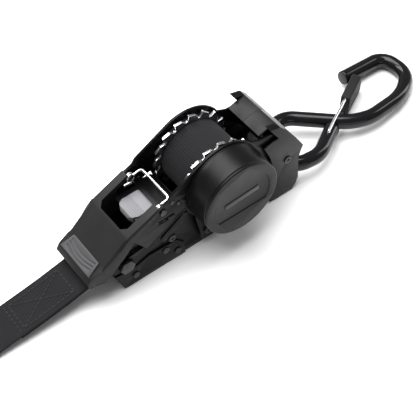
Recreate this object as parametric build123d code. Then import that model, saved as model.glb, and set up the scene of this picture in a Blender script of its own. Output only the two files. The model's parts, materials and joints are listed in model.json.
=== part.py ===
"""Ratchet strap with a spring case: frame, handle, drum, pawls, webbing and two gated S-hooks.

Units are millimetres. X points to the front hook, +Y to the far side, Z up.
The drum axis lies along Y at (0, AXIS_Z) and the base stands on z = 0.
"""

import os
from math import atan2, cos, degrees, hypot, pi, radians, sin, tan

from build123d import *

# frame
AXIS_Z = 45.0
CHEEK_IN = 14.7
CHEEK_OUT = 16.1
BASE_T = 1.6
# drum
TEETH = 16
TIP_R = 25.6
ROOT_R = 21.7
LAND_R = 24.2
TIP_ANGLE = 88.9
WHEEL_IN = 12.6
WHEEL_OUT = 14.4
MANDREL_R = 6.0
JOURNAL_R = 6.06
PACK_R = 20.5
PACK_HALF = 12.4
# handle
ARM_IN = 16.4
ARM_OUT = 17.8
HUB_R = 26.2
# spring case on the near side
BRACKET_Y = (-19.3, -18.1)
CASE_FACE_Y = -36.0
CASE_R = 25.5
CASE_TOP_R = 24.6
# nose cover
NOSE_HALF = 18.9
NOSE_WALL = 1.5
# webbing
WEB_HALF = 12.7
PLY = 1.3
BOLT = (-67.0, 19.0)
NOTCH_X = -135.0
# hooks
WIRE_R = 4.8
FRONT_BAR = (49.0, 14.9)
FRONT_DROOP = 4.7
REAR_BAR = (-246.0, 12.5)
REAR_DROOP = 3.2
EYE_R = 5.4
LOOP_HALF = 6.0
GATE_R = 0.9
GATE_OFF = 6.1
GATE_LEN = 56.5
GATE_PIVOT = (38.5, -8.22)
GATE_DIR = 29.9
# lock pawl line: starts at LOCK_FROM and runs down to the rear
LOCK_FROM = (0.0, 48.0)
LOCK_ANGLE = 31.5

PARTS = {}


def keep(name, *shapes):
    solids = []
    for shape in shapes:
        solids.extend(shape.solids())
    PARTS[name] = solids[0] if len(solids) == 1 else Compound(children=solids)


def plate(sketch, y_low, y_high):
    plane = Plane(origin=(0, y_high, 0), x_dir=(1, 0, 0), z_dir=(0, -1, 0))
    return extrude(plane * sketch, amount=y_high - y_low)


def poly(points):
    return make_face(Polyline(*points, close=True))


def disc(x, z, r):
    return Pos(x, z) * Circle(r)


def rod(x, z, r, y_low, y_high):
    return plate(disc(x, z, r), y_low, y_high)


def tube_y(x, z, r_out, r_in, y_low, y_high):
    return plate(disc(x, z, r_out) - disc(x, z, r_in), y_low, y_high)


def both(make):
    """The near piece and its mirror on the far side; make(side) is called with -1 and 1."""
    return [make(-1), make(1)]


def band(side, low, high):
    return (low, high) if side > 0 else (-high, -low)


def polar(r, angle):
    a = radians(angle)
    return (r * cos(a), AXIS_Z + r * sin(a))


def lock_point(t, s):
    a = radians(LOCK_ANGLE)
    x = LOCK_FROM[0] - t * cos(a) + s * sin(a)
    z = LOCK_FROM[1] - t * sin(a) - s * cos(a)
    return (x, z)


def lock_stadium(t_from, t_to, r):
    ends = [lock_point(t_from, 0), lock_point(t_to, 0)]
    body = poly([lock_point(t_from, -r), lock_point(t_to, -r), lock_point(t_to, r), lock_point(t_from, r)])
    return body + disc(*ends[0], r) + disc(*ends[1], r)


def rounded(points, radius, step=9.0):
    """The points of a path whose corners are turned with tangent arcs."""
    out = [points[0]]
    for k in range(1, len(points) - 1):
        p, a, b = points[k], points[k - 1], points[k + 1]
        u = ((p[0] - a[0]), (p[1] - a[1]))
        v = ((b[0] - p[0]), (b[1] - p[1]))
        lu, lv = hypot(*u), hypot(*v)
        u = (u[0] / lu, u[1] / lu)
        v = (v[0] / lv, v[1] / lv)
        turn = atan2(u[0] * v[1] - u[1] * v[0], u[0] * v[0] + u[1] * v[1])
        if abs(turn) < 0.01:
            continue
        length = min(radius * tan(abs(turn) / 2), 0.45 * lu, 0.45 * lv)
        r = length / tan(abs(turn) / 2)
        side = 1 if turn > 0 else -1
        start = (p[0] - u[0] * length, p[1] - u[1] * length)
        centre = (start[0] - side * u[1] * r, start[1] + side * u[0] * r)
        n = max(2, int(abs(degrees(turn)) / step) + 1)
        for i in range(n + 1):
            a_i = atan2(start[1] - centre[1], start[0] - centre[0]) + turn * i / n
            out.append((centre[0] + r * cos(a_i), centre[1] + r * sin(a_i)))
    out.append(points[-1])
    return out


def ribbon_outline(path, half):
    left, right = [], []
    for k, p in enumerate(path):
        a = path[max(0, k - 1)]
        b = path[min(len(path) - 1, k + 1)]
        length = hypot(b[0] - a[0], b[1] - a[1])
        n = (-(b[1] - a[1]) / length, (b[0] - a[0]) / length)
        left.append((p[0] + n[0] * half, p[1] + n[1] * half))
        right.append((p[0] - n[0] * half, p[1] - n[1] * half))
    return left + right[::-1]


def ribbon(path, half_width):
    return plate(poly(ribbon_outline(path, PLY / 2)), -half_width, half_width)


def plan_cut(points):
    """A tall prism over a plan outline, to trim a strap's width."""
    return extrude(Plane.XY.offset(-20) * make_face(Polyline(*points, close=True)), amount=120)


def wire(points, radii, r):
    """A round wire along straight runs and tangent arcs."""
    pts = [Vector(*p) for p in points]
    edges = []
    at = pts[0]
    for k in range(1, len(pts) - 1):
        u = (pts[k] - pts[k - 1]).normalized()
        v = (pts[k + 1] - pts[k]).normalized()
        turn = radians(u.get_angle(v))
        length = radii[k - 1] * tan(turn / 2)
        start = pts[k] - u * length
        end = pts[k] + v * length
        inward = (v - u).normalized()
        centre = pts[k] + inward * (radii[k - 1] / cos(turn / 2))
        middle = centre - inward * radii[k - 1]
        if (start - at).length > 1e-4:
            edges.append(Line(at, start))
        edges.append(ThreePointArc(start, middle, end))
        at = end
    edges.append(Line(at, pts[-1]))
    path = Wire([e.edge() for e in edges])
    profile = Plane(origin=pts[0], z_dir=(pts[1] - pts[0])) * Circle(r)
    return sweep(profile, path=path)


# ---------------------------------------------------------------- frame


CHEEK = [
    (-70, 0), (50.8, 0), (51.6, 6.2), (40.0, 7.0), (40.0, 26.0), (50.5, 27.0), (53.0, 34),
    (46.5, 46), (39, 56), (28, 56.5), (12, 63.4), (0, 60), (-19, 55), (-24.1, 38),
    (-45, 26.4), (-60, 24.6), (-72, 23), (-76.7, 18),
]
SLOT = (29.3, 39.9, 1.85)
BOSS = (30.6, 47.5, 2.6)
FRAME_RIVETS = [(-41.0, 12.6), (-62.0, 7.0), (-33.0, 6.0)]
GUARD_SCREW = (-36.0, 19.3)
SPACERS = [(-13.0, 12.5), (13.0, 12.5), (0.0, 9.0)]
FRONT_SPACER = (42.0, 38.0)
NOSE_SCREW = (46.2, 30.2)
SIDE_PLATE = [(-70, 0), (-28, 0), (-28, 9), (-33, 15.6), (-52, 16.6), (-60, 14), (-75, 14.5), (-76.2, 17)]


def make_frame():
    outline = poly(CHEEK) + disc(0, AXIS_Z, 22)
    slot = poly([lock_point(SLOT[0], -SLOT[2]), lock_point(SLOT[1], -SLOT[2]),
                 lock_point(SLOT[1], SLOT[2]), lock_point(SLOT[0], SLOT[2])])
    holes = [disc(0, AXIS_Z, JOURNAL_R), disc(*BOLT, 3.2), disc(*FRONT_SPACER, 2.0),
             disc(*NOSE_SCREW, 1.4), disc(*GUARD_SCREW, 1.4)]
    holes += [disc(x, z, 1.3) for x, z in FRAME_RIVETS]
    face = outline - slot
    for hole in holes:
        face -= hole
    cheeks = both(lambda s: plate(face, *band(s, CHEEK_IN, CHEEK_OUT)))
    for x, z in SPACERS:
        cheeks[0] -= rod(x, z, 1.5, -CHEEK_OUT - 1, -CHEEK_IN + 1)
    bosses = both(lambda s: plate(lock_stadium(*BOSS), *band(s, CHEEK_OUT, CHEEK_OUT + 0.9)))
    base = plate(poly([(-70, 0), (50.8, 0), (50.8, BASE_T), (-70.2, BASE_T)]), -CHEEK_OUT, CHEEK_OUT)
    body = base
    for piece in cheeks + bosses:
        body += piece
    keep("frame", body)


def make_frame_fittings():
    face = poly(SIDE_PLATE)
    for x, z in FRAME_RIVETS:
        face -= disc(x, z, 1.3)
    keep("rear_side_plates", *both(lambda s: plate(face, *band(s, CHEEK_OUT, CHEEK_OUT + 1.0))))
    rivets = []
    for x, z in FRAME_RIVETS:
        for s in (-1, 1):
            shank = rod(x, z, 1.3, *band(s, CHEEK_IN - 0.5, CHEEK_OUT + 1.0))
            head = rod(x, z, 2.2, *band(s, CHEEK_OUT + 1.0, CHEEK_OUT + 1.8))
            inner = rod(x, z, 2.0, *band(s, CHEEK_IN - 0.9, CHEEK_IN))
            rivets.append(shank + head + inner)
    keep("frame_rivets", *rivets)
    screws = []
    for s in (-1, 1):
        shank = rod(*GUARD_SCREW, 1.4, *band(s, CHEEK_IN - 2.0, CHEEK_OUT))
        head = rod(*GUARD_SCREW, 2.5, *band(s, CHEEK_OUT, CHEEK_OUT + 1.3))
        cross = plate(Pos(*GUARD_SCREW) * (Rectangle(2.8, 0.6) + Rectangle(0.6, 2.8)),
                      *band(s, CHEEK_OUT + 0.7, CHEEK_OUT + 1.4))
        screws.append(shank + head - cross)
    keep("guard_screws", *screws)
    spacer = rod(*FRONT_SPACER, 3.2, -CHEEK_IN, CHEEK_IN)
    spacer += rod(*FRONT_SPACER, 2.0, -CHEEK_OUT - 0.7, CHEEK_OUT + 0.7)
    keep("front_spacer", spacer)
    hexagon = Pos(*BOLT) * RegularPolygon(5.0, 6)
    bolt = rod(*BOLT, 3.2, -CHEEK_OUT, CHEEK_OUT + 3.4) + plate(hexagon, -CHEEK_OUT - 2.6, -CHEEK_OUT)
    keep("rear_bolt", bolt)
    keep("rear_nut", plate(hexagon - disc(*BOLT, 3.2), CHEEK_OUT, CHEEK_OUT + 2.8))
    seat = [(-48.4, 23.0), (-44.2, 16.2), (-46.5, BASE_T), (-55, BASE_T), (-55, 3.0), (-47.7, 3.0),
            (-45.7, 16.4), (-49.7, 22.2)]
    keep("spring_seat", plate(poly(seat), -10, 10))


def make_lock():
    profile = [(27.9, -0.6), (30.6, -1.5), (46, -1.5), (46, 1.5), (29.2, 1.5), (27.9, 0.9)]
    body = plate(poly([lock_point(t, s) for t, s in profile]), -WHEEL_OUT, WHEEL_OUT)
    ear = poly([lock_point(t, s) for t, s in [(33.2, -1.5), (37.2, -1.5), (37.2, 1.5), (33.2, 1.5)]])
    body += plate(ear, -CHEEK_OUT + 0.3, CHEEK_OUT - 0.3)
    keep("lock_pawl", body)
    coils = []
    for y in (-6.0, 6.0):
        spine = Plane(origin=(lock_point(48.6, 0)[0], y, lock_point(48.6, 0)[1]),
                      z_dir=(-cos(radians(LOCK_ANGLE)), 0, -sin(radians(LOCK_ANGLE))))
        turns = [spine * Pos(0, 0, 0.5 + 0.85 * i) * Torus(2.0, 0.5) for i in range(6)]
        coil = turns[0]
        for turn in turns[1:]:
            coil += turn
        coils.append(coil)
    keep("lock_springs", *coils)


# ---------------------------------------------------------------- nose cover


NOSE = [
    (28.4, 58.5), (32.8, 63.2), (40.5, 61.2), (45, 56.3), (52.2, 45), (58, 35.1), (56.7, 32.4),
    (54.6, 26.1), (54.9, 8.1), (53.1, 4.5), (50.8, 1.4), (50.8, 0.6), (36.0, 0.4), (33.2, 1.4),
    (35.5, 13), (36.4, 26.4), (33.5, 40), (29.3, 50),
]
NOSE_CAVITY = [
    (20, 54.4), (28.4, 57.2), (33.6, 58.9), (39.8, 59.7), (43.6, 55.2), (50.7, 44.1), (56.1, 34.9),
    (55.1, 32.6), (52.8, 26.8), (52.8, 6.2), (51.8, 3.5), (51.2, -1), (20, -1),
]
MOUTH_Z = (6.3, 25.2)
MOUTH_HALF = 17.9
PANEL_TOP = [(26, 57.6), (28.4, 58.5), (33.3, 60.2), (40.5, 61.2), (40.5, 70), (26, 70)]
PANEL_HALF = 14.0
EAR_NOTCH = [(32.6, 64.0), (39.4, 52.9), (28.9, 49.9), (20, 47.4), (20, 70), (32.6, 70)]


def nose_half(side):
    full = plate(poly(NOSE), *band(side, 0.08, NOSE_HALF))
    inner = NOSE_HALF - NOSE_WALL
    cavity = plate(poly(NOSE_CAVITY), *band(side, -1.0, inner))
    mouth = plate(poly([(45, MOUTH_Z[0]), (60, MOUTH_Z[0]), (60, MOUTH_Z[1]), (45, MOUTH_Z[1])]),
                  *band(side, -1.0, MOUTH_HALF))
    above_panel = plate(poly(PANEL_TOP), *band(side, -1.0, PANEL_HALF))
    notch = plate(poly(EAR_NOTCH), *band(side, PANEL_HALF, NOSE_HALF + 1))
    body = full - cavity - mouth - above_panel - notch
    body -= rod(*NOSE_SCREW, 1.4, *band(side, inner - 1, NOSE_HALF + 1))
    return body


def make_nose():
    keep("nose_half_near", nose_half(-1))
    keep("nose_half_far", nose_half(1))
    screws = []
    for s in (-1, 1):
        shank = rod(*NOSE_SCREW, 1.4, *band(s, CHEEK_IN - 1.5, NOSE_HALF))
        head = rod(*NOSE_SCREW, 2.5, *band(s, NOSE_HALF, NOSE_HALF + 0.6))
        cross = plate(Pos(*NOSE_SCREW) * (Rectangle(2.8, 0.6) + Rectangle(0.6, 2.8)),
                      *band(s, NOSE_HALF + 0.1, NOSE_HALF + 0.8))
        screws.append(shank + head - cross)
    keep("nose_screws", *screws)


# ---------------------------------------------------------------- spring case


def make_case():
    plan = disc(0, AXIS_Z, CASE_R) + poly([(-17, 5.5), (17, 5.5), (21, 30), (-21, 30)])
    plan -= disc(0, AXIS_Z, MANDREL_R + 0.5)
    for x, z in SPACERS:
        plan -= disc(x, z, 1.5)
    keep("case_bracket", plate(plan, *BRACKET_Y))
    keep("bracket_spacers", *[tube_y(x, z, 3.3, 1.5, BRACKET_Y[1], -CHEEK_OUT) for x, z in SPACERS])
    screws = []
    for x, z in SPACERS:
        shank = rod(x, z, 1.5, BRACKET_Y[0], -CHEEK_IN + 0.8)
        head = rod(x, z, 2.8, BRACKET_Y[0] - 1.4, BRACKET_Y[0])
        head -= plate(Pos(x, z) * (Rectangle(3.0, 0.7) + Rectangle(0.7, 3.0)),
                      BRACKET_Y[0] - 1.5, BRACKET_Y[0] - 0.7)
        screws.append(shank + head)
    keep("bracket_screws", *screws)
    case_back = BRACKET_Y[0]
    case_front = CASE_FACE_Y + 1.5
    axis = Plane(origin=(0, case_back, AXIS_Z), x_dir=(1, 0, 0), z_dir=(0, -1, 0))
    depth = case_back - case_front
    outer = loft([axis * Circle(CASE_R), axis.offset(depth) * Circle(CASE_TOP_R + 0.1)])
    outer -= rod(0, AXIS_Z, CASE_R - 2.2, case_front - 1, case_back + 1)
    keep("spring_case", outer)
    cover = rod(0, AXIS_Z, CASE_TOP_R, CASE_FACE_Y, case_front)
    rim = cover.edges().filter_by(GeomType.CIRCLE).group_by(Axis.Y)[0]
    cover = fillet(rim, 0.9)
    recess = disc(0, AXIS_Z, 19.0) & poly([(-19, 35), (19, 35), (19, 65), (-19, 65)])
    cover -= plate(recess, CASE_FACE_Y - 1, CASE_FACE_Y + 0.6)
    keep("spring_cover", cover)
    bar = extrude(Plane(origin=(0, CASE_FACE_Y + 0.6, AXIS_Z + 1.4), x_dir=(1, 0, 0), z_dir=(0, -1, 0))
                  * Rot(0, 0, 4) * Rectangle(23, 3.1), amount=0.45)
    keep("cover_bar", bar)
    path = []
    turns = 7.0
    for k in range(int(turns * 30) + 1):
        a = 12.0 * k
        r = 7.5 + (21.8 - 7.5) * a / (360 * turns)
        path.append(polar(r, a))
    keep("spiral_spring", plate(poly(ribbon_outline(path, 0.25)), -32.6, -22.2))


# ---------------------------------------------------------------- drum


def wheel_points():
    pitch = 360.0 / TEETH
    points = []
    for k in range(TEETH):
        a = TIP_ANGLE + pitch * k
        points += [polar(TIP_R, a), polar(ROOT_R, a + 2.0), polar(ROOT_R, a + 5.5), polar(LAND_R, a + 10.5)]
    return points


def make_drum():
    halves = []
    for s in (-1, 1):
        keepers = Pos(0, AXIS_Z + s * 5.1) * Rectangle(16, 7.8)
        halves.append(plate(disc(0, AXIS_Z, MANDREL_R) & keepers, -33.2, 20.6))
    keep("mandrel", *halves)
    windows = [disc(*polar(14.0, 45 + 90 * k), 3.0) for k in range(4)]
    for name, side in (("wheel_near", -1), ("wheel_far", 1)):
        face = poly(wheel_points()) - disc(0, AXIS_Z, MANDREL_R)
        for window in windows:
            face -= window
        keep(name, plate(face, *band(side, WHEEL_IN, WHEEL_OUT)))
    ply = poly([(-8.0, AXIS_Z - 0.7), (8.0, AXIS_Z - 0.7), (8.0, AXIS_Z + 0.7), (-8.0, AXIS_Z + 0.7)])
    pack = disc(0, AXIS_Z, PACK_R) - disc(0, AXIS_Z, MANDREL_R + 0.02) + ply
    body = plate(pack, -PACK_HALF, PACK_HALF)
    for s in (-1, 1):
        for k in range(5):
            r = 9.0 + 2.5 * k
            body -= tube_y(0, AXIS_Z, r + 0.15, r - 0.15, *band(s, PACK_HALF - 0.35, PACK_HALF + 1))
    keep("webbing_spool", body)
    keep("spring_arbor", tube_y(0, AXIS_Z, 6.9, MANDREL_R, -33.0, -20.2))
    keep("end_washer", tube_y(0, AXIS_Z, 10.0, MANDREL_R, 18.1, 19.2))
    clip = tube_y(0, AXIS_Z, 8.4, MANDREL_R, 19.2, 20.1)
    clip -= plate(poly([(-2.4, AXIS_Z), (2.4, AXIS_Z), (2.4, AXIS_Z + 12), (-2.4, AXIS_Z + 12)]), 19, 21)
    keep("end_clip", clip)


# ---------------------------------------------------------------- handle


ARM = [
    (-11.5, 68.5), (-34.6, 56.2), (-36.8, 53.2), (-42.7, 50.8), (-63.8, 41.8), (-70.5, 36.6),
    (-70.5, 29.5), (-66.5, 29.5), (-64.5, 36.5), (-60.5, 36), (-53.3, 25), (-37.7, 33.7), (-31, 38.4),
    (-24, 41),
]
STUD = (-40.5, 46.9)
ARM_RIVETS = [(-30.2, 47.6), (-34.2, 51.0)]
PAWL_Z = (38.6, 40.8)
EAR_X = (-38.0, -34.0)
PULL = 5.5


def make_handle():
    face = poly(ARM) + disc(0, AXIS_Z, HUB_R)
    slot = [(EAR_X[0] - PULL - 0.5, PAWL_Z[0] - 0.35), (EAR_X[1] + 0.5, PAWL_Z[0] - 0.35),
            (EAR_X[1] + 0.5, PAWL_Z[1] + 0.35), (EAR_X[0] - PULL - 0.5, PAWL_Z[1] + 0.35)]
    face -= poly(slot)
    face -= disc(0, AXIS_Z, JOURNAL_R)
    face -= disc(*STUD, 1.3)
    for x, z in ARM_RIVETS:
        face -= disc(x, z, 0.8)
    arms = both(lambda s: plate(face, *band(s, ARM_IN, ARM_OUT)))
    flange = [(-44.6, 50.0), (-63.8, 41.8), (-70.5, 36.6), (-70.5, 35.2), (-64.2, 40.2), (-44.9, 48.5)]
    flanges = both(lambda s: plate(poly(flange), *band(s, 13.5, ARM_OUT)))
    bar = [(-70.5, 36.6), (-67.4, 38.2), (-67.4, 36.6), (-69.1, 35.6), (-69.1, 29.5), (-70.5, 29.5)]
    cross = plate(poly(bar), -ARM_OUT, ARM_OUT)
    body = cross
    for piece in arms + flanges:
        body += piece
    keep("handle_frame", body)
    return body


GRIP = [
    (-61.5, 36.6), (-64.0, 42.4), (-67.0, 40.6), (-80.8, 28.9), (-89.9, 24.2), (-92.2, 20.8), (-91, 17.5),
    (-80.6, 16), (-77.4, 19.9), (-70.5, 27.2),
]


RAIL = [(-64.0, 42.4), (-43.0, 51.8), (-44.2, 47.8), (-64.0, 38.6)]
RAIL_IN = 12.8
RAIL_OUT = 18.5
PAD_ARC = 34.0
SKIRT = [(-64.5, 38.8), (-60, 41.2), (-51, 45.2), (-48.5, 31), (-50, 26.8), (-66, 25.8), (-68, 29)]
SKIRT_Y = (13.0, 13.9)


def bevel(a, b, side, y, leg):
    """A square bar turned on edge along the line a-b, to cut the long outer corner there."""
    length = hypot(b[0] - a[0], b[1] - a[1]) + 4.0
    slope = degrees(atan2(b[1] - a[1], b[0] - a[0]))
    middle = Pos((a[0] + b[0]) / 2, side * y, (a[1] + b[1]) / 2)
    return middle * Rot(0, -slope, 0) * Rot(45, 0, 0) * Box(length, leg * 2 ** 0.5, leg * 2 ** 0.5)


def grip_rails():
    rails = both(lambda s: plate(poly(RAIL), *band(s, RAIL_IN, RAIL_OUT)))
    rails += both(lambda s: plate(poly(SKIRT), *band(s, *SKIRT_Y)))
    corner = [(-64.0, 38.6), (-64.0, 42.4), (-60.8, 43.8), (-60.8, 40.1)]
    for s in (-1, 1):
        web = plate(poly(corner), *band(s, RAIL_IN - 3.2, RAIL_IN))
        rails.append(web & plan_cut([(-64, s * 9.6), (-60.8, s * 12.8), (-64, s * 12.8)]))
    return rails


def make_grip(metal):
    body = plate(poly(GRIP), -18.7, 18.7)
    taper = plan_cut([(-60, -18.7), (-68, -18.7), (-80, -17.6), (-92.4, -16.4), (-92.4, 16.4), (-80, 17.6),
                      (-68, 18.7), (-60, 18.7)])
    body = body & taper
    slope = degrees(atan2(4.7, 9.1))
    arch = [(-100, 10), (-60, 10), (-60, 22.6), (-76, 21.6), (-90, 18.2), (-100, 15.5)]
    body -= plate(poly(arch), -13.4, 13.4)
    for piece in grip_rails():
        body += piece
    for s in (-1, 1):
        body -= bevel((-64.0, 42.4), (-43.0, 51.8), s, RAIL_OUT, 0.9)
        body -= bevel((-67.0, 40.6), (-80.8, 28.9), s, 18.3, 1.5)
    pad_plane = Plane(origin=(-85.35, 0, 26.55), x_dir=(cos(radians(slope)), 0, sin(radians(slope))),
                      z_dir=(-sin(radians(slope)), 0, cos(radians(slope))))
    outline = make_face(Polyline((4.9, -12.6), (4.9, 12.6), (-4.7, 14.6), (-4.7, -14.6), close=True))
    pocket = extrude(pad_plane * outline, amount=-1.2)
    pad = extrude(pad_plane.offset(-1.2) * outline, amount=2.1)
    for k in range(3):
        ring = pad_plane * Pos(PAD_ARC + 1.0 - 2.2 * k, 0, 0.75) * (Cylinder(PAD_ARC + 0.4, 0.7)
                                                                 - Cylinder(PAD_ARC - 0.4, 0.7))
        pad -= ring & plan_cut([(-60, -11.5), (-95, -11.5), (-95, 11.5), (-60, 11.5)])
    keep("grip", body - metal - pocket)
    keep("grip_pad", pad & plan_cut([(-60, -18), (-95, -16), (-95, 16), (-60, 18)]))


def make_handle_fittings():
    points = [(STUD[0] + 1.6, -13.6, STUD[1] + 1.5), (-33.1, -13.6, 49.4 + 0.5), (-33.1, 13.6, 49.4 + 0.5),
              (STUD[0] + 1.6, 13.6, STUD[1] + 1.5)]
    bail = wire(points, [2.2, 2.2], 0.85)
    for s in (-1, 1):
        for y in (14.0, 15.35):
            spine = Plane(origin=(STUD[0], s * y, STUD[1]), z_dir=(0, 1, 0))
            bail += spine * Torus(2.2, 0.85)
    keep("bail_spring", bail)
    studs = []
    for s in (-1, 1):
        stud = rod(*STUD, 1.3, *band(s, 13.0, ARM_OUT)) + rod(*STUD, 2.1, *band(s, ARM_OUT, ARM_OUT + 0.8))
        studs.append(stud)
    keep("spring_studs", *studs)
    rivets = []
    for x, z in ARM_RIVETS:
        for s in (-1, 1):
            shank = rod(x, z, 0.8, *band(s, ARM_IN, ARM_OUT))
            rivets.append(shank + rod(x, z, 1.4, *band(s, ARM_OUT, ARM_OUT + 0.5)))
    keep("handle_rivets", *rivets)
    web = Pos(-39.6, 0, sum(PAWL_Z) / 2) * Box(27.2, 2 * 12.4, PAWL_Z[1] - PAWL_Z[0])
    tip = Pos(-31.0, 0, sum(PAWL_Z) / 2) * Box(8.8, 2 * WHEEL_OUT, PAWL_Z[1] - PAWL_Z[0])
    ears = Pos(sum(EAR_X) / 2, 0, sum(PAWL_Z) / 2) * Box(EAR_X[1] - EAR_X[0], 36.6, PAWL_Z[1] - PAWL_Z[0])
    wedge = plate(poly([(-26.4, 41.4), (-26.4, 39.4), (-28.4, 41.4)]), -15, 15)
    pawl = web + tip + ears - wedge
    keep("drive_pawl", pawl)
    tab = poly([(-55.2, 39.4), (-54.2, 41.4), (-52.6, 42.0), (-40.6, 42.0), (-39.4, 41.2), (-39.2, 38.0),
                (-41.2, 37.2), (-53.6, 37.2), (-55.0, 38.0)])
    body = plate(tab, -8.0, 8.0)
    body &= plan_cut([(-38, -8), (-51.0, -8), (-53.6, -6.6), (-55.0, -4.0), (-55.3, 0), (-55.0, 4.0),
                      (-53.6, 6.6), (-51.0, 8), (-38, 8)])
    for k in range(6):
        body -= Pos(-53.2 + 1.3 * k, 0, 42.0) * Box(0.55, 20, 0.6)
    keep("finger_tab", body - pawl)


# ---------------------------------------------------------------- webbing


def loop_ring(x, z, slack, half):
    """A sewn loop round a hook's bar: inside radius EYE_R, drawn out by slack towards the hook."""
    outer = disc(x, z, EYE_R + PLY) + disc(x + slack, z, EYE_R + PLY)
    outer += Pos(x + slack / 2, z) * Rectangle(abs(slack), 2 * (EYE_R + PLY))
    inner = disc(x, z, EYE_R) + disc(x + slack, z, EYE_R)
    inner += Pos(x + slack / 2, z) * Rectangle(abs(slack), 2 * EYE_R)
    return plate(outer - inner, -half, half)


def tightest(path):
    """The smallest radius through three neighbouring points of a path."""
    best = 1e9
    for k in range(1, len(path) - 1):
        a, b, c = path[k - 1], path[k], path[k + 1]
        u = (b[0] - a[0], b[1] - a[1])
        v = (c[0] - b[0], c[1] - b[1])
        w = (c[0] - a[0], c[1] - a[1])
        cross = abs(u[0] * v[1] - u[1] * v[0])
        if cross > 1e-6:
            best = min(best, hypot(*u) * hypot(*v) * hypot(*w) / (2 * cross))
    return best


def make_strap():
    x, z = FRONT_BAR
    top = z + EYE_R + PLY / 2
    route = [(-6.0, 23.5), (4.0, 23.5), (30.0, top + 0.9), (x - 2.0, top + PLY + 0.05)]
    lead = ribbon(rounded(route, 20), 12.2)
    lead &= plan_cut([(-10, -12.2), (22, -12.2), (38, -LOOP_HALF), (60, -LOOP_HALF), (60, LOOP_HALF),
                      (38, LOOP_HALF), (22, 12.2), (-10, 12.2)])
    keep("strap_lead", lead)
    keep("strap_loop", loop_ring(x, z, 2.2, LOOP_HALF))
    # rear: lower ply and its turn round the bolt
    bx, bz = BOLT
    ring = disc(bx, bz, 3.55 + PLY) - disc(bx, bz, 3.55)
    keep_ring = poly([(bx - 2.2, bz + 9), (bx + 9, bz + 9), (bx + 9, bz - 9), (bx - 2.2, bz - 9)])
    turn = plate(ring & keep_ring, -WEB_HALF, WEB_HALF)
    low = [(bx - 1.4, bz - 4.0), (bx - 9.0, bz - 3.9), (-100, 10.0), (NOTCH_X, 4.6)]
    high = [(bx - 1.4, bz + 4.0), (bx - 8.5, bz - 1.2)]
    under = ribbon(rounded(low, 25), WEB_HALF)
    over = ribbon(high, WEB_HALF)
    keep("fixed_strap_loop", turn + under + over)
    rx, rz = REAR_BAR
    end_z = rz - EYE_R - 1.5 * PLY
    top_path = [(bx - 8.8, bz - 1.9 + 0.65), (-100, 11.35), (-135, 5.95), (-165, 2.0), (-196, 0.9),
                (rx + 22, end_z - 1.9), (rx, end_z)]
    path = rounded(top_path, 60, 3.0)
    print("free webbing, tightest bend radius", round(tightest(path), 1), "mm; ply", PLY)
    print("sewn eye, bend radius", EYE_R + PLY / 2, "mm")
    main = ribbon(path, WEB_HALF) - turn - under - over
    h = LOOP_HALF
    taper = plan_cut([(-60, -20), (rx + 30, -12.7), (rx + 11, -h), (rx - 9, -h), (rx - 9, h), (rx + 11, h),
                      (rx + 30, 12.7), (-60, 20)])
    keep("fixed_strap", main & taper)
    loop = loop_ring(rx, rz, -2.2, LOOP_HALF)
    keep("rear_hook_loop", loop)


# ---------------------------------------------------------------- hooks


HOOK = [(46.7, -3.2), (25.0, -16.5), (11.2, -15.6), (0, -7.6), (0, 7.6), (25.0, 23.6), (65.0, -10.6),
        (103.4, -6.1), (120.8, 7.1), (119.2, 28.9), (82.5, 28.2)]
HOOK_R = [20.0, 12.0, 6.5, 6.5, 14.0, 34.0, 40.0, 16.0, 10.0]


def hook_parts():
    body = wire([(x, y, 0) for x, y in HOOK], HOOK_R, WIRE_R)
    px, py = GATE_PIVOT
    body -= Pos(px, py, 0) * Cylinder(GATE_R + 0.06, 14)
    c, s = cos(radians(GATE_DIR)), sin(radians(GATE_DIR))
    tip = (px + GATE_LEN * c, py + GATE_LEN * s)
    points = [(px, py, 1.2), (px, py, GATE_OFF), (*tip, GATE_OFF), (*tip, -GATE_OFF), (px, py, -GATE_OFF),
              (px, py, -1.2)]
    gate = wire(points, [1.1, 2.4, 2.4, 1.1], GATE_R)
    at = Pos(px, py, 0) * Rot(0, 0, GATE_DIR)
    side = [(-13.0, -7.4), (10.0, -7.4), (13.0, -5.2), (13.0, 5.2), (10.0, 7.4), (-13.0, 7.4)]
    block = plate(poly(side), -3.1, 3.1)
    block = fillet(block.edges().group_by(Axis.Y)[0] + block.edges().group_by(Axis.Y)[-1], 1.0)
    sleeve = at * Pos(44.8, 0, 0) * block
    return body, gate, sleeve - gate


def make_hooks():
    print("hook wire, tightest bend radius", min(HOOK_R), "mm; gate wire, tightest bend radius 1.1 mm")
    body, gate, sleeve = hook_parts()
    front = Pos(FRONT_BAR[0], 0, FRONT_BAR[1]) * Rot(0, FRONT_DROOP, 0)
    rear = Pos(REAR_BAR[0], 0, REAR_BAR[1]) * Rot(0, -REAR_DROOP, 0) * Rot(0, 0, 180)
    for name, where in (("front", front), ("rear", rear)):
        keep("s_hook_" + name, where * body)
        keep("gate_wire_" + name, where * gate)
        keep("gate_sleeve_" + name, where * sleeve)


make_frame()
make_frame_fittings()
make_lock()
make_nose()
make_case()
make_drum()
metal = make_handle()
make_grip(metal)
make_handle_fittings()
make_strap()
make_hooks()

for name, shape in sorted(PARTS.items()):
    export_step(shape, "parts/" + name + ".step")
    box = shape.bounding_box()
    print(name, len(shape.solids()), [round(v, 1) for v in (*box.min, *box.max)])
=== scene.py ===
import json
import math

import bmesh
import bpy
from mathutils import Matrix, Vector

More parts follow.
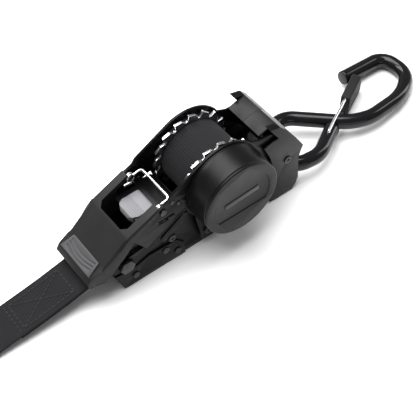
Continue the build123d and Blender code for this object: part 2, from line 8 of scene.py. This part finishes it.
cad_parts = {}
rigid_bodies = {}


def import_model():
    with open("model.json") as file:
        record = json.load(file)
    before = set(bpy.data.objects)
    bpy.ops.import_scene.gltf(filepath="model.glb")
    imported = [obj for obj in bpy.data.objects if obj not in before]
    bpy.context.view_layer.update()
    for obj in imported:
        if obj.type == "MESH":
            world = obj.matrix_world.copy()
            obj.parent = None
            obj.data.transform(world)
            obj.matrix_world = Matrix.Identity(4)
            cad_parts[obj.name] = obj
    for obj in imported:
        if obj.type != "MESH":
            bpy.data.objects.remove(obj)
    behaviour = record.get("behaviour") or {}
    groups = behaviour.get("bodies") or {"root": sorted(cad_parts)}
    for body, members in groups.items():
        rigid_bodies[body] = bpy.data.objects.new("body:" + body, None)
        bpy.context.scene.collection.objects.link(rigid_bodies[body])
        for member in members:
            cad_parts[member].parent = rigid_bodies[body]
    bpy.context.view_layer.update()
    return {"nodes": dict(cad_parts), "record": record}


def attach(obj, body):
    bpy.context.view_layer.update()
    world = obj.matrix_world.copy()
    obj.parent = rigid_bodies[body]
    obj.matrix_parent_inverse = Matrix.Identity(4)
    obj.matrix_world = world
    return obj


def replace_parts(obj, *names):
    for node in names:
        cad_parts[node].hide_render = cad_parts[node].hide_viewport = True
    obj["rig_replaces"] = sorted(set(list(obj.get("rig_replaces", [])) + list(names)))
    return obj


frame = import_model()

MM = 0.001
AXIS_Z = 45.0  # height of the drum axis, mm
NODES = frame["nodes"]
BODY_OF = {n: b for b, ns in frame["record"]["behaviour"]["bodies"].items() for n in ns}
SLOT_OF = {s["node"]: s["material_slot"] for s in frame["record"]["subparts"]}

# ------------------------------------------------------------ camera


CAMERA_RIGHT = (0.8014, -0.597, -0.0365)
CAMERA_UP = (0.4836, 0.6108, 0.6269)
CAMERA_SHIFT = (-2.73865, 29.69405, -670.10048)  # the drum axis seen from the camera, before scaling
FIT_SCALE = 0.9  # mm for each unit of CAMERA_SHIFT
FOCAL_PER_WIDTH = 1064.14 / 416.0
SENSOR = 36.0


def make_camera():
    right = Vector(CAMERA_RIGHT)
    up = Vector(CAMERA_UP)
    back = right.cross(up).normalized()
    right = up.cross(back).normalized()
    up = back.cross(right).normalized()
    rows = Matrix((right, up, back))
    where = -(rows.transposed() @ Vector(CAMERA_SHIFT))
    where = Vector((where.x * FIT_SCALE, where.y * FIT_SCALE, where.z * FIT_SCALE + AXIS_Z)) * MM
    data = bpy.data.cameras.new("camera")
    data.sensor_width = SENSOR
    data.lens = FOCAL_PER_WIDTH * SENSOR
    data.clip_start = 0.01
    data.clip_end = 20.0
    cam = bpy.data.objects.new("camera", data)
    cam.matrix_world = Matrix.Translation(where) @ rows.transposed().to_4x4()
    bpy.context.scene.collection.objects.link(cam)
    bpy.context.scene.camera = cam


# ------------------------------------------------------------ materials


class Build:
    """Small helper round a material's node tree."""

    def __init__(self, name):
        self.mat = bpy.data.materials.new(name)
        self.mat.use_nodes = True
        self.tree = self.mat.node_tree
        self.bsdf = self.tree.nodes["Principled BSDF"]
        self.coords = self.tree.nodes.new("ShaderNodeTexCoord")

    def put(self, **values):
        for key, value in values.items():
            self.bsdf.inputs[key.replace("_", " ")].default_value = value
        return self

    def node(self, kind, **values):
        made = self.tree.nodes.new(kind)
        for key, value in values.items():
            if key in made.inputs:
                made.inputs[key].default_value = value
            else:
                setattr(made, key, value)
        return made

    def link(self, a, b):
        self.tree.links.new(a, b)

    def noise(self, scale, detail=4.0, rough=0.55):
        made = self.node("ShaderNodeTexNoise", Scale=scale, Detail=detail, Roughness=rough)
        self.link(self.coords.outputs["Object"], made.inputs["Vector"])
        return made.outputs["Fac"]

    def ramp(self, fac, low, high, a, b):
        made = self.tree.nodes.new("ShaderNodeMapRange")
        made.inputs["From Min"].default_value = a
        made.inputs["From Max"].default_value = b
        made.inputs["To Min"].default_value = low
        made.inputs["To Max"].default_value = high
        self.link(fac, made.inputs["Value"])
        return made.outputs["Result"]

    def mix(self, fac, one, two):
        made = self.tree.nodes.new("ShaderNodeMix")
        made.data_type = "RGBA"
        made.inputs[6].default_value = (*one, 1.0)
        made.inputs[7].default_value = (*two, 1.0)
        self.link(fac, made.inputs[0])
        return made.outputs[2]

    def math(self, op, a, b):
        made = self.tree.nodes.new("ShaderNodeMath")
        made.operation = op
        for socket, value in zip(made.inputs, (a, b)):
            if isinstance(value, (int, float)):
                socket.default_value = value
            else:
                self.link(value, socket)
        return made.outputs[0]

    def bump(self, height, strength, distance):
        made = self.node("ShaderNodeBump", Strength=strength, Distance=distance)
        self.link(height, made.inputs["Height"])
        self.link(made.outputs["Normal"], self.bsdf.inputs["Normal"])


def surface(name, one, two, rough, spread, grain, bump, depth=0.00004, coat=0.0, spec=0.5):
    """A smooth or moulded surface with two mottled tones and a fine grain."""
    b = Build(name).put(Coat_Weight=coat, Coat_Roughness=0.12)
    b.bsdf.inputs["Specular IOR Level"].default_value = spec
    broad = b.noise(60.0)
    fine = b.noise(grain, 3.0, 0.6)
    b.link(b.mix(broad, one, two), b.bsdf.inputs["Base Color"])
    b.link(b.ramp(broad, rough - spread, rough + spread, 0.3, 0.7), b.bsdf.inputs["Roughness"])
    b.bump(fine, bump, depth)
    return b.mat


def worn_steel(name, one, two, rough):
    """Plain steel with fine drawn lines and slight staining."""
    b = Build(name).put(Metallic=1.0)
    stain = b.noise(220.0)
    lines = b.node("ShaderNodeTexNoise", Scale=1.0, Detail=3.0)
    stretch = b.node("ShaderNodeMapping")
    stretch.inputs["Scale"].default_value = (300.0, 4000.0, 300.0)
    b.link(b.coords.outputs["Object"], stretch.inputs["Vector"])
    b.link(stretch.outputs["Vector"], lines.inputs["Vector"])
    b.link(b.mix(stain, one, two), b.bsdf.inputs["Base Color"])
    b.link(b.ramp(lines.outputs["Fac"], rough - 0.06, rough + 0.1, 0.3, 0.7), b.bsdf.inputs["Roughness"])
    b.bump(lines.outputs["Fac"], 0.12, 0.00003)
    return b.mat


WEFT_PITCH = 0.0016
WARP_PITCH = 0.0011


def woven(name, one, two):
    """Polyester webbing: UV is in metres along the strap and across it."""
    b = Build(name).put(Roughness=0.78, Sheen_Weight=0.05, Sheen_Roughness=0.5)
    b.bsdf.inputs["Specular IOR Level"].default_value = 0.15
    split = b.tree.nodes.new("ShaderNodeSeparateXYZ")
    b.link(b.coords.outputs["UV"], split.inputs[0])
    along = b.math("MULTIPLY", split.outputs[0], 2 * math.pi / WEFT_PITCH)
    across = b.math("MULTIPLY", split.outputs[1], 2 * math.pi / WARP_PITCH)
    weft = b.math("SINE", b.math("ADD", along, b.math("SINE", across, 0.0)), 0.0)
    warp = b.math("SINE", across, 0.0)
    cloth = b.math("ADD", b.math("MULTIPLY", weft, 0.6), b.math("MULTIPLY", warp, 0.4))
    fuzz = b.noise(3000.0, 2.0, 0.7)
    height = b.math("ADD", cloth, b.math("MULTIPLY", fuzz, 0.6))
    tone = b.ramp(b.math("ADD", cloth, b.math("MULTIPLY", b.noise(120.0), 0.8)), 0.0, 1.0, -0.8, 1.4)
    b.link(b.mix(tone, one, two), b.bsdf.inputs["Base Color"])
    b.bump(height, 0.5, 0.00012)
    return b.mat


MATS = {}


COOL = 1.05  # the blue of a gray, over its red
GRAYS = {
    # name: darker tone, lighter tone, roughness, its spread, grain, bump, specular level
    "black_steel": (0.002, 0.004, 0.34, 0.05, 700, 0.12, 0.12),
    "black_fastener": (0.008, 0.018, 0.30, 0.06, 900, 0.10, 0.30),
    "satin_black_plastic": (0.002, 0.004, 0.34, 0.05, 1400, 0.10, 0.16),
    "grip_plastic": (0.006, 0.011, 0.50, 0.05, 1600, 0.30, 0.18),
    "pad_plastic": (0.040, 0.058, 0.52, 0.05, 1600, 0.30, 0.25),
    "bar_plastic": (0.035, 0.045, 0.45, 0.05, 1500, 0.20, 0.25),
    "tab_plastic": (0.15, 0.20, 0.50, 0.05, 1500, 0.20, 0.30),
    "sleeve": (0.004, 0.009, 0.60, 0.06, 1200, 0.30, 0.20),
    "thread": (0.012, 0.030, 0.70, 0.05, 4000, 0.40, 0.25),
}


def make_materials():
    for name, (dark, light, rough, spread, grain, bump, spec) in GRAYS.items():
        one, two = (dark, dark, dark * COOL), (light, light, light * COOL)
        MATS[name] = surface(name, one, two, rough, spread, grain, bump, spec=spec)
    MATS["hook_coating"] = surface("hook_coating", (0.003, 0.003, 0.0035), (0.006, 0.006, 0.007), 0.17, 0.04,
                                   260, 0.05, 0.0001, 0.15, 0.20)
    MATS["bright_wire"] = worn_steel("bright_wire", (0.80, 0.81, 0.82), (0.60, 0.61, 0.63), 0.22)
    MATS["plain_steel"] = worn_steel("plain_steel", (0.42, 0.42, 0.44), (0.25, 0.25, 0.27), 0.35)
    MATS["tooth_edge"] = worn_steel("tooth_edge", (0.78, 0.79, 0.81), (0.48, 0.48, 0.50), 0.25)
    MATS["webbing"] = woven("webbing", (0.002, 0.002, 0.0025), (0.012, 0.012, 0.0135))
    MATS["floor"] = surface("floor", (0.90, 0.90, 0.90), (0.92, 0.92, 0.92), 0.9, 0.02, 40, 0.0)


# ------------------------------------------------------------ mesh helpers


def new_object(name, mesh, body, slot, nodes=(), mats=None):
    for m in mats or [MATS[slot]]:
        mesh.materials.append(m)
    o = bpy.data.objects.new(name, mesh)
    bpy.context.scene.collection.objects.link(o)
    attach(o, body)
    if nodes:
        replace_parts(o, *nodes)
    return o


def baked(o):
    """Applies the object's modifiers to its mesh."""
    deps = bpy.context.evaluated_depsgraph_get()
    deps.update()
    mesh = bpy.data.meshes.new_from_object(o.evaluated_get(deps))
    old = o.data
    o.modifiers.clear()
    o.data = mesh
    bpy.data.meshes.remove(old)


def soften(node, width, segments=2, angle=32.0, mats=None, paint=None):
    """A copy of a CAD node with its edges rounded, which stands for the node."""
    mesh = NODES[node].data.copy()
    mesh.materials.clear()
    bm = bmesh.new()
    bm.from_mesh(mesh)
    bmesh.ops.remove_doubles(bm, verts=bm.verts, dist=2e-6)
    bmesh.ops.dissolve_limit(bm, angle_limit=math.radians(1.0), verts=bm.verts, edges=bm.edges)
    bm.to_mesh(mesh)
    bm.free()
    if "custom_normal" in mesh.attributes:
        mesh.attributes.remove(mesh.attributes["custom_normal"])
    o = new_object("v_" + node, mesh, BODY_OF[node], SLOT_OF[node], [node], mats)
    bevel = o.modifiers.new("bevel", "BEVEL")
    bevel.width = width * MM
    bevel.segments = segments
    bevel.limit_method = "ANGLE"
    bevel.angle_limit = math.radians(angle)
    bevel.use_clamp_overlap = True
    baked(o)
    shade(o.data, angle)
    if paint:
        for face in o.data.polygons:
            face.material_index = paint(face.center / MM, face.normal)
    return o


def shade(mesh, angle=35.0):
    for face in mesh.polygons:
        face.use_smooth = True
    mesh.set_sharp_from_angle(angle=math.radians(angle))


def loft(rings, closed_ends=True, uv=None):
    """A skin over rings of equal count; uv gives a (u, v) for ring i and point j."""
    bm = bmesh.new()
    layer = bm.loops.layers.uv.new("uv") if uv else None
    made = [[bm.verts.new(p) for p in ring] for ring in rings]
    n = len(rings[0])
    for i in range(len(rings) - 1):
        for j in range(n):
            face = bm.faces.new((made[i][j], made[i][(j + 1) % n], made[i + 1][(j + 1) % n], made[i + 1][j]))
            if layer:
                for loop, (a, b) in zip(face.loops, ((i, j), (i, j + 1), (i + 1, j + 1), (i + 1, j))):
                    loop[layer].uv = uv(a, b)
    if closed_ends:
        bm.faces.new(made[0][::-1])
        bm.faces.new(made[-1])
    bmesh.ops.recalc_face_normals(bm, faces=bm.faces)
    mesh = bpy.data.meshes.new("loft")
    bm.to_mesh(mesh)
    bm.free()
    return mesh


def rounded(points, radii, step=4.0):
    """A path in space whose corners are turned with arcs."""
    pts = [Vector(p) for p in points]
    out = [pts[0]]
    for k in range(1, len(pts) - 1):
        u = (pts[k] - pts[k - 1]).normalized()
        v = (pts[k + 1] - pts[k]).normalized()
        turn = u.angle(v)
        length = radii[k - 1] * math.tan(turn / 2)
        start = pts[k] - u * length
        inward = (v - u).normalized()
        centre = pts[k] + inward * (radii[k - 1] / math.cos(turn / 2))
        axis = u.cross(v).normalized()
        n = max(3, int(math.degrees(turn) / step))
        for i in range(n + 1):
            out.append(centre + Matrix.Rotation(turn * i / n, 3, axis) @ (start - centre))
    out.append(pts[-1])
    return out


def filled(path, step):
    out = [path[0]]
    for a, b in zip(path, path[1:]):
        n = max(1, int((b - a).length / step + 0.5))
        out += [a.lerp(b, i / n) for i in range(1, n + 1)]
    return out


def tube(path, radius, sides=28, end=0.0):
    """A round tube along a path; end rounds its two rims by that much."""
    rings = []
    normal = None
    spans = [(path[1] - path[0]).normalized()]
    spans += [(b - a).normalized() for a, b in zip(path, path[2:])]
    spans.append((path[-1] - path[-2]).normalized())
    stations = [(p, t, radius) for p, t in zip(path, spans)]
    if end:
        for side in (0, -1):
            p, t, _ = stations[side]
            out = -t if side == 0 else t
            cap = [(p + out * end * (math.sin(a) - 1), t, radius - end * (1 - math.cos(a)))
                   for a in (0.0, 0.5, 1.0, math.pi / 2)]
            stations = cap[::-1] + stations[1:] if side == 0 else stations[:-1] + cap
    for p, t, r in stations:
        if normal is None:
            normal = t.orthogonal().normalized()
        normal = (normal - t * normal.dot(t)).normalized()
        other = t.cross(normal)
        rings.append([p + (normal * math.cos(a) + other * math.sin(a)) * r
                      for a in (2 * math.pi * k / sides for k in range(sides))])
    return loft(rings)


def lathe(profile, axis_z, sides=128, ribs=0):
    """A closed profile of (radius, y), turned about an axis along Y; ribs run across its rim."""
    rings = []
    outer = max(r for r, _ in profile)
    for k in range(sides + 1):
        a = 2 * math.pi * k / sides
        dip = 2 * RIB_DEEP * (0.5 - 0.5 * math.cos(ribs * a))
        sunk = [(r - dip if r > outer - 0.3 else r, y) for r, y in profile]
        rings.append([Vector((r * math.cos(a), y, axis_z + r * math.sin(a))) * MM for r, y in sunk])
    outer = outer * MM

    def uv(i, j):
        return (2 * math.pi * outer * i / sides, profile[j % len(profile)][1] * MM)

    mesh = loft(rings, closed_ends=False, uv=uv)
    bm = bmesh.new()
    bm.from_mesh(mesh)
    bmesh.ops.remove_doubles(bm, verts=bm.verts, dist=1e-7)
    bmesh.ops.recalc_face_normals(bm, faces=bm.faces)
    bm.to_mesh(mesh)
    bm.free()
    return mesh


# ------------------------------------------------------------ webbing


BOLT = (-67.0, 19.0)
REAR_BAR = (-246.0, 12.5)
FRONT_BAR = (49.0, 14.9)
EYE_R = 5.4
PLY = 1.3
ROUTE = [(-75.8, 17.75), (-100.0, 11.35), (-135.0, 5.95), (-165.0, 2.0), (-196.0, 0.9), (-224.0, 3.25),
         (-246.0, 5.15)]
WEB_HALF = 12.7
EYE_HALF = 6.0
RIB = 1.6
RIB_DEEP = 0.07
PACK_SIDES = 480
PACK_RIBS = 80


def strap(name, path, width, nodes):
    """Webbing along a path in mm in the XZ plane; width(x) gives its half width there."""
    path = filled([Vector((x, 0, z)) for x, z in path], RIB / 6)
    lengths = [0.0]
    for a, b in zip(path, path[1:]):
        lengths.append(lengths[-1] + (b - a).length)
    rings = []
    side = [(-1.0, 0.0), (-0.985, 0.62), (-0.94, 0.93), (-0.86, 1.0), (-0.5, 0.92)]
    upper = side + [(0.0, 0.92)] + [(-w, d) for w, d in side[::-1]]
    cross = upper + [(w, -d) for w, d in upper[-2:0:-1]]
    for k, p in enumerate(path):
        a, b = path[max(0, k - 1)], path[min(len(path) - 1, k + 1)]
        t = (b - a).normalized()
        n = Vector((-t.z, 0, t.x))
        half = width(p.x)
        deep = PLY / 2 - RIB_DEEP * (0.5 - 0.5 * math.cos(2 * math.pi * lengths[k] / RIB))
        rings.append([(p + n * (deep * s) + Vector((0, half * w, 0))) * MM for w, s in cross])

    def uv(i, j):
        w = cross[j % len(cross)][0]
        return (lengths[i] * MM, width(path[i].x) * w * MM)

    mesh = loft(rings, uv=uv)
    shade(mesh, 50.0)
    return new_object(name, mesh, "body", "webbing", nodes)


def stitches(name, runs, lift):
    """Thread along straight runs on a strap; lift(x) gives the cloth's height."""
    bm = bmesh.new()
    for a, b in runs:
        a, b = Vector(a), Vector(b)
        n = max(2, round((b - a).length / 3.0))
        for k in range(n):
            p = a.lerp(b, (k + 0.14) / n)
            q = a.lerp(b, (k + 0.86) / n)
            made = []
            along = Vector((q.x - p.x, q.y - p.y, 0)).normalized()
            side = Vector((-along.y, along.x, 0))
            for f in (0.0, 0.15, 0.5, 0.85, 1.0):
                c = p.lerp(q, f)
                swell = math.sin(math.pi * (0.06 + 0.88 * f)) ** 0.5
                z = lift(c.x) + 0.02 + 0.16 * swell
                centre = Vector((c.x, c.y, z))
                r = 0.34 * swell
                turns = [2 * math.pi * i / 8 for i in range(8)]
                offsets = [side * (r * math.cos(t)) + Vector((0, 0, r * 0.8 * math.sin(t))) for t in turns]
                made.append([bm.verts.new((centre + offset) * MM) for offset in offsets])
            for i in range(4):
                for j in range(8):
                    bm.faces.new((made[i][j], made[i][(j + 1) % 8], made[i + 1][(j + 1) % 8], made[i + 1][j]))
            bm.faces.new(made[0][::-1])
            bm.faces.new(made[-1])
    bmesh.ops.recalc_face_normals(bm, faces=bm.faces)
    mesh = bpy.data.meshes.new(name)
    bm.to_mesh(mesh)
    bm.free()
    shade(mesh, 60.0)
    new_object(name, mesh, "body", "webbing", (), [MATS["thread"]])


def nurbs_line(points):
    """The points of a smooth NURBS line through a route, in mm."""
    curve = bpy.data.curves.new("route", "CURVE")
    curve.dimensions = "3D"
    curve.resolution_u = 24
    spline = curve.splines.new("NURBS")
    spline.points.add(len(points) - 1)
    for point, (x, z) in zip(spline.points, points):
        point.co = (x * MM, 0.0, z * MM, 1.0)
    spline.order_u = 3
    spline.use_endpoint_u = True
    o = bpy.data.objects.new("route", curve)
    bpy.context.scene.collection.objects.link(o)
    mesh = bpy.data.meshes.new_from_object(o)
    line = [v.co.copy() for v in mesh.vertices]
    bpy.data.objects.remove(o)
    bpy.data.curves.remove(curve)
    bpy.data.meshes.remove(mesh)
    return line


def height_on(line, x):
    for a, b in zip(line, line[1:]):
        if min(a.x, b.x) <= x * MM <= max(a.x, b.x):
            f = (x * MM - a.x) / (b.x - a.x)
            return (a.z + (b.z - a.z) * f) / MM
    return line[-1].z / MM


def ease(x, x0, x1, a, b):
    f = min(1.0, max(0.0, (x - x0) / (x1 - x0)))
    f = f * f * (3 - 2 * f)
    return a + (b - a) * f


def loop_path(x, z, slack):
    """A path round a hook's bar at the middle of the loop's cloth."""
    r = EYE_R + PLY / 2
    left, right = sorted((x, x + slack))
    out = [(right + r * math.cos(a), z + r * math.sin(a)) for a in
           (math.radians(d) for d in range(-90, 91, 6))]
    out += [(left + r * math.cos(a), z + r * math.sin(a)) for a in
            (math.radians(d) for d in range(90, 271, 6))]
    return out + [out[0]]


def make_webbing():
    line = nurbs_line(ROUTE)
    flat = [(p.x / MM, p.z / MM) for p in line]

    def half(x):
        return ease(x, REAR_BAR[0] + 11, REAR_BAR[0] + 30, EYE_HALF, WEB_HALF)

    main = strap("strap_rear", flat, half, ["fixed_strap"])
    turn = [(BOLT[0] + 4.2 * math.cos(math.radians(d)), BOLT[1] + 4.2 * math.sin(math.radians(d)))
            for d in range(110, -101, -7)]
    lower = [(p.x / MM, p.z / MM - PLY) for p in line if -134.6 < p.x / MM < -83.0]
    path = [(-75.8, 17.75), (-71.5, 20.6)] + turn + [(-73.5, 14.2)] + lower
    strap("strap_rear_turn", path, lambda x: 12.65, ["fixed_strap_loop"])
    box = [(-97.5, -9.0), (-97.5, 9.0), (-130.5, 9.0), (-130.5, -9.0)]
    runs = [((*box[i], 0), (*box[(i + 1) % 4], 0)) for i in range(4)]
    runs += [((*box[0], 0), (*box[2], 0)), ((*box[1], 0), (*box[3], 0))]
    runs += [((-133.2, -10.5, 0), (-133.2, 10.5, 0))]
    stitches("strap_rear_thread", runs, lambda x: height_on(line, x) + PLY / 2)
    strap("strap_rear_eye", loop_path(*REAR_BAR, -2.2), lambda x: EYE_HALF, ["rear_hook_loop"])
    strap("strap_front_eye", loop_path(*FRONT_BAR, 2.2), lambda x: EYE_HALF, ["strap_loop"])
    top = FRONT_BAR[1] + EYE_R + PLY / 2
    lead = [(-6.0, 23.5), (4.0, 23.5), (16.0, 22.9), (30.0, top + 0.9),
            (FRONT_BAR[0] - 2.0, top + PLY + 0.05)]
    strap("strap_lead_cloth", lead, lambda x: ease(x, 22, 38, 12.2, EYE_HALF), ["strap_lead"])
    make_pack()
    return main, line


def make_pack():
    """The webbing wound on the drum, with the edges of its plies showing at both ends."""
    profile = [(6.1, -12.0), (6.1, 12.0)]
    side = []
    r = 6.3
    while r < 19.6:
        side += [(r, 12.02), (r + 0.25, 12.36), (r + 0.95, 12.36), (r + 1.2, 12.02)]
        r += 1.3
    rim = [(19.9, 12.34), (20.35, 12.2), (20.45, 11.6), (20.5, 6.0)]
    profile += side + rim + [(20.5, 0.0)] + [(r, -y) for r, y in rim[::-1]]
    profile += [(a, -b) for a, b in side[::-1]]
    pack = lathe(profile, AXIS_Z, PACK_SIDES, PACK_RIBS)
    shade(pack, 40.0)
    new_object("strap_pack", pack, "drum", "webbing", ["webbing_spool"])


# ------------------------------------------------------------ hooks


HOOK = [(46.7, -3.2), (25.0, -16.5), (11.2, -15.6), (0, -7.6), (0, 7.6), (25.0, 23.6), (65.0, -10.6),
        (103.4, -6.1), (120.8, 7.1), (119.2, 28.9), (82.5, 28.2)]
HOOK_R = [20.0, 12.0, 6.5, 6.5, 14.0, 34.0, 40.0, 16.0, 10.0]
WIRE_R = 4.8
FRONT_DROOP = 4.7
REAR_DROOP = 3.2


def make_hook(end):
    path = filled(rounded([(x, y, 0.0) for x, y in HOOK], HOOK_R, 3.0), 2.5)
    mesh = tube([p * MM for p in path], WIRE_R * MM, 40, 0.9 * MM)
    shade(mesh, 50.0)
    x, z = FRONT_BAR if end == "front" else REAR_BAR
    place = Matrix.Translation(Vector((x, 0, z)) * MM)
    if end == "front":
        place = place @ Matrix.Rotation(math.radians(FRONT_DROOP), 4, "Y")
    else:
        place = place @ Matrix.Rotation(math.radians(-REAR_DROOP), 4, "Y") @ Matrix.Rotation(math.pi, 4, "Z")
    mesh.transform(place)
    new_object("hook_" + end, mesh, end + "_hook", "hook_coating", ["s_hook_" + end])
    soften("gate_sleeve_" + end, 0.35, 3, 30.0)


# ------------------------------------------------------------ hard pieces


TOOTH_FROM_R = 21.0


def tooth_paint(centre, normal):
    """Material 1 on the rim of the teeth and 0 on the wheel's two sides."""
    r = math.hypot(centre.x, centre.z - AXIS_Z)
    return 1 if r > TOOTH_FROM_R and abs(normal.y) < 0.93 else 0


def make_hard():
    steel = [MATS["plain_steel"], MATS["tooth_edge"]]
    for wheel in ("wheel_near", "wheel_far"):
        soften(wheel, 0.3, 2, 20.0, steel, tooth_paint)
    rounds = {
        "frame": 0.35, "rear_side_plates": 0.25, "handle_frame": 0.4, "case_bracket": 0.3,
        "drive_pawl": 0.35, "lock_pawl": 0.3, "nose_half_near": 0.7, "nose_half_far": 0.7, "grip": 1.1,
        "grip_pad": 0.22, "finger_tab": 0.35, "rear_bolt": 0.4, "rear_nut": 0.4, "frame_rivets": 0.3,
        "guard_screws": 0.2, "nose_screws": 0.2, "bracket_screws": 0.2, "handle_rivets": 0.2,
        "spring_studs": 0.3, "front_spacer": 0.3, "end_washer": 0.25, "end_clip": 0.25,
        "spring_seat": 0.3,
    }
    for node, width in rounds.items():
        soften(node, width, 3 if width > 0.5 else 2)
    soften("spring_cover", 0.3, 2, 50.0)
    soften("cover_bar", 0.2, 2, 32.0, [MATS["bar_plastic"]])
    case = [(23.3, -19.3), (25.1, -19.3), (25.42, -19.45), (25.5, -19.8), (25.35, -22.5), (25.15, -26.0),
            (24.98, -29.0), (24.85, -31.5), (24.75, -33.2), (24.6, -34.0), (24.3, -34.4), (23.9, -34.5),
            (23.3, -34.5)]
    mesh = lathe(case, AXIS_Z, 144)
    shade(mesh, 40.0)
    new_object("v_spring_case", mesh, "body", SLOT_OF["spring_case"], ["spring_case"])


def dress_rest():
    """The CAD nodes that stay get the material of their slot."""
    shown = set(NODES)
    for o in bpy.data.objects:
        shown -= set(o.get("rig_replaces", []))
    for node in shown:
        o = NODES[node]
        mat = MATS[SLOT_OF[node]]
        if not o.material_slots:
            o.data.materials.append(mat)
        for s in o.material_slots:
            s.material = mat


# ------------------------------------------------------------ stage


def area_light(name, where, aim, size, size_y, power):
    data = bpy.data.lights.new(name, "AREA")
    data.shape = "RECTANGLE"
    data.size = size
    data.size_y = size_y
    data.energy = power
    o = bpy.data.objects.new(name, data)
    o.location = where
    o.rotation_euler = (Vector(aim) - Vector(where)).to_track_quat("-Z", "Y").to_euler()
    bpy.context.scene.collection.objects.link(o)


def make_stage():
    bm = bmesh.new()
    bmesh.ops.create_grid(bm, x_segments=2, y_segments=2, size=6.0)
    mesh = bpy.data.meshes.new("floor")
    bm.to_mesh(mesh)
    bm.free()
    mesh.materials.append(MATS["floor"])
    floor = bpy.data.objects.new("floor", mesh)
    floor.location = (0, 0, -0.0002)
    bpy.context.scene.collection.objects.link(floor)
    world = bpy.data.worlds.new("world")
    world.use_nodes = True
    world.node_tree.nodes["Background"].inputs[0].default_value = (1, 1, 1, 1)
    world.node_tree.nodes["Background"].inputs[1].default_value = 0.25
    bpy.context.scene.world = world
    bpy.context.scene.view_settings.view_transform = "Standard"
    area_light("top", (-0.1, 0.25, 1.6), (0, 0, 0), 1.6, 1.2, 52.0)
    area_light("key", (-0.1, 0.75, 0.75), (0, 0, 0.03), 0.9, 0.35, 9.0)
    area_light("near", (-0.1, -1.1, 0.30), (0, 0, 0.04), 0.9, 0.16, 1.0)
    area_light("front", (1.1, -0.2, 0.55), (0.05, 0, 0.03), 0.25, 0.9, 4.0)


make_camera()
make_materials()
strap_piece, strap_line = make_webbing()
make_hook("front")
make_hook("rear")
make_hard()
dress_rest()
length = sum((b - a).length for a, b in zip(strap_line, strap_line[1:]))
tuple(strap_line[0])
[tuple(p) for p in strap_line]
make_stage()
